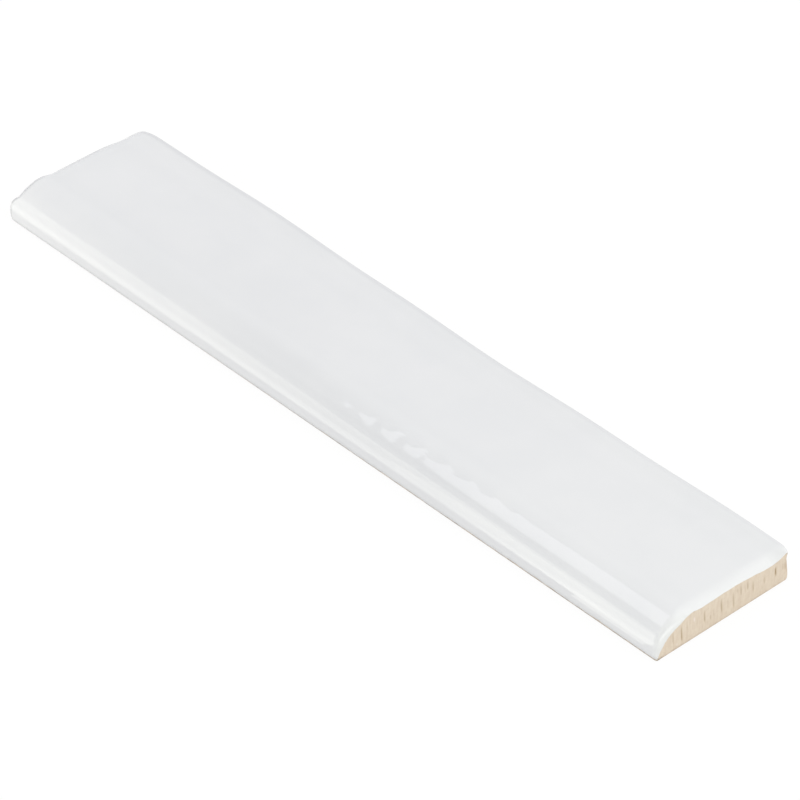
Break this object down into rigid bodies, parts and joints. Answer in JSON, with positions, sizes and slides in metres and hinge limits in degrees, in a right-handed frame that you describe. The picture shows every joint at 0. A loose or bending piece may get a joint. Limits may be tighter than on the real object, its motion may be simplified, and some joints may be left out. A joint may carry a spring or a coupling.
{
  "type": "bullnose tile",
  "caption": "Narrow glazed wall-trim tile with one long edge rounded over as a bullnose and the other square, with a gently waved white gloss face.",
  "frame": {"origin": "centre of the bed, at mid-length and mid-width of the tile", "axes": "+X along the length, +Y from the rounded bullnose to the square back edge, +Z out of the glazed face"},
  "size_m": [0.25, 0.0468, 0.0104],
  "materials": {
    "glazed_clay": "gloss white glaze over a buff fired-clay body, bare on the ends, the back edge and the bed"
  },
  "bodies": {
    "root": {"bullnose_tile": "glazed_clay"}
  },
  "joints": []
}
